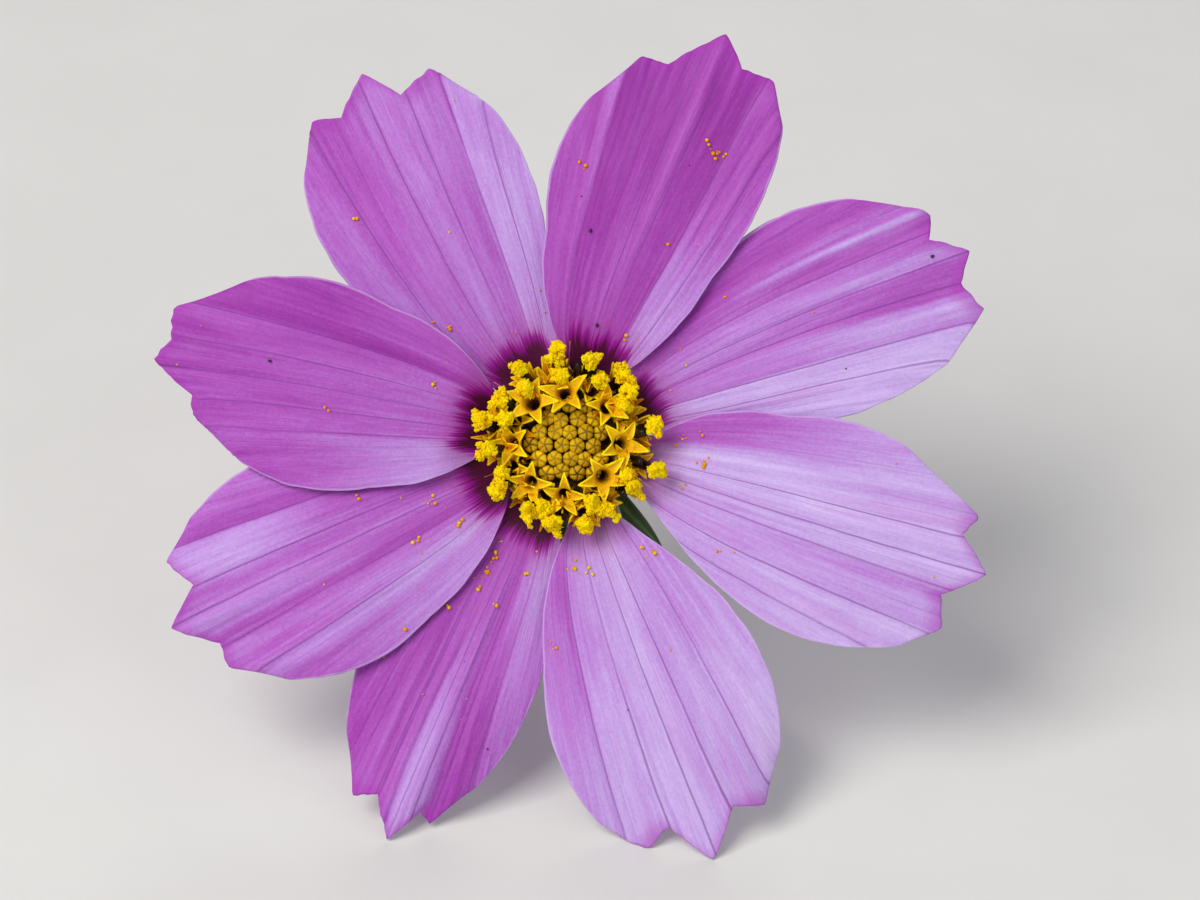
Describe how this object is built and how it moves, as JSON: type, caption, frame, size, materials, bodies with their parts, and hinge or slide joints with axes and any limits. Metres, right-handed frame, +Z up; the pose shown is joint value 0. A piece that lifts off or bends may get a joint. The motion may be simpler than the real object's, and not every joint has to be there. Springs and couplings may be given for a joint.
{
  "type": "cosmos flower",
  "caption": "Picked open daisy-like flower with toothed lilac petals, a yellow floret disc, green bracts and a bare bent stalk, lying on its side.",
  "frame": {"origin": "middle of the bottom of the flower's box, on the surface that it lies on", "axes": "+Z up from the surface; -Y is the side that the face looks to, tilted up; +Y runs back along the stalk; +X to the right of the face"},
  "size_m": [0.0714, 0.0986, 0.0569],
  "materials": {
    "petal": "satin, lilac with fine lengthwise veins, dark magenta at the base",
    "inner_bract": "papery, yellowish green with pale edges",
    "outer_bract": "smooth dark green",
    "closed_floret": "matte olive yellow",
    "star_floret": "matte golden yellow",
    "pollen_floret": "dark brown anther tubes with granular bright yellow pollen",
    "stalk": "smooth green with fine lengthwise ribs"
  },
  "bodies": {
    "root": {"stem": "stalk", "petal_1": "petal", "petal_2": "petal", "petal_3": "petal", "petal_4": "petal", "petal_5": "petal", "petal_6": "petal", "petal_7": "petal", "petal_8": "petal", "outer_bract_1": "outer_bract", "outer_bract_2": "outer_bract", "outer_bract_3": "outer_bract", "outer_bract_4": "outer_bract", "outer_bract_5": "outer_bract", "outer_bract_6": "outer_bract", "outer_bract_7": "outer_bract", "outer_bract_8": "outer_bract", "inner_bract_1": "inner_bract", "inner_bract_2": "inner_bract", "inner_bract_3": "inner_bract", "inner_bract_4": "inner_bract", "inner_bract_5": "inner_bract", "inner_bract_6": "inner_bract", "inner_bract_7": "inner_bract", "inner_bract_8": "inner_bract", "closed_florets": "closed_floret", "star_floret_1": "star_floret", "star_floret_2": "star_floret", "star_floret_3": "star_floret", "star_floret_4": "star_floret", "star_floret_5": "star_floret", "star_floret_6": "star_floret", "star_floret_7": "star_floret", "star_floret_8": "star_floret", "star_floret_9": "star_floret", "star_floret_10": "star_floret", "star_floret_11": "star_floret", "star_floret_12": "star_floret", "star_floret_13": "star_floret", "star_floret_14": "star_floret", "star_floret_15": "star_floret", "star_floret_16": "star_floret", "pollen_floret_1": "pollen_floret", "pollen_floret_2": "pollen_floret", "pollen_floret_3": "pollen_floret", "pollen_floret_4": "pollen_floret", "pollen_floret_5": "pollen_floret", "pollen_floret_6": "pollen_floret", "pollen_floret_7": "pollen_floret", "pollen_floret_8": "pollen_floret", "pollen_floret_9": "pollen_floret", "pollen_floret_10": "pollen_floret", "pollen_floret_11": "pollen_floret", "pollen_floret_12": "pollen_floret", "pollen_floret_13": "pollen_floret", "pollen_floret_14": "pollen_floret", "pollen_floret_15": "pollen_floret", "pollen_floret_16": "pollen_floret"}
  },
  "joints": []
}
